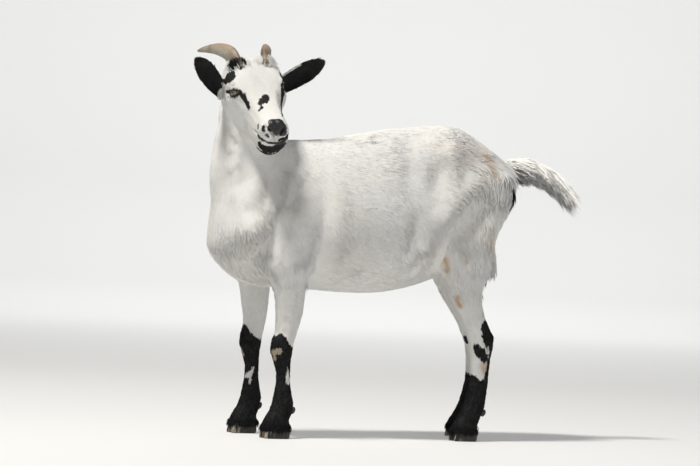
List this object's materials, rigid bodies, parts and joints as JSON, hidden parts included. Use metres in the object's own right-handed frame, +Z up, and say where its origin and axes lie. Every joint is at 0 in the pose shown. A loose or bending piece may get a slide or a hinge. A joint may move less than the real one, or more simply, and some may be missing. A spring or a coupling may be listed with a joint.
{
  "type": "goat",
  "caption": "Life-size still model of a young spotted goat standing with its head turned to its left, short curved horns, black ears and a raised tail.",
  "frame": {"origin": "on the ground, under the middle of the whole length and width", "axes": "+Z up, -Y the way the goat's body faces, +X towards the goat's left side"},
  "size_m": [0.2826, 0.912, 0.8096],
  "materials": {
    "coat_white": "short white hair with black markings",
    "coat_black": "short black hair",
    "horn": "ridged grey-tan horn",
    "hoof": "dark horn with pale streaks at the toe",
    "eye": "wet yellow-green eye with a dark slit pupil"
  },
  "bodies": {
    "root": {"claw_fore_left_inner": "hoof", "claw_fore_left_outer": "hoof", "claw_fore_right_inner": "hoof", "claw_fore_right_outer": "hoof", "claw_hind_left_inner": "hoof", "claw_hind_left_outer": "hoof", "claw_hind_right_inner": "hoof", "claw_hind_right_outer": "hoof", "dewclaw_fore_left_inner": "hoof", "dewclaw_fore_left_outer": "hoof", "dewclaw_fore_right_inner": "hoof", "dewclaw_fore_right_outer": "hoof", "dewclaw_hind_left_inner": "hoof", "dewclaw_hind_left_outer": "hoof", "dewclaw_hind_right_inner": "hoof", "dewclaw_hind_right_outer": "hoof", "ear_left": "coat_black", "ear_right": "coat_black", "eye_left": "eye", "eye_right": "eye", "head": "coat_white", "horn_left": "horn", "horn_right": "horn", "leg_fore_left": "coat_white", "leg_fore_right": "coat_white", "leg_hind_left": "coat_white", "leg_hind_right": "coat_white", "neck": "coat_white", "tail": "coat_white", "trunk": "coat_white"}
  },
  "joints": []
}
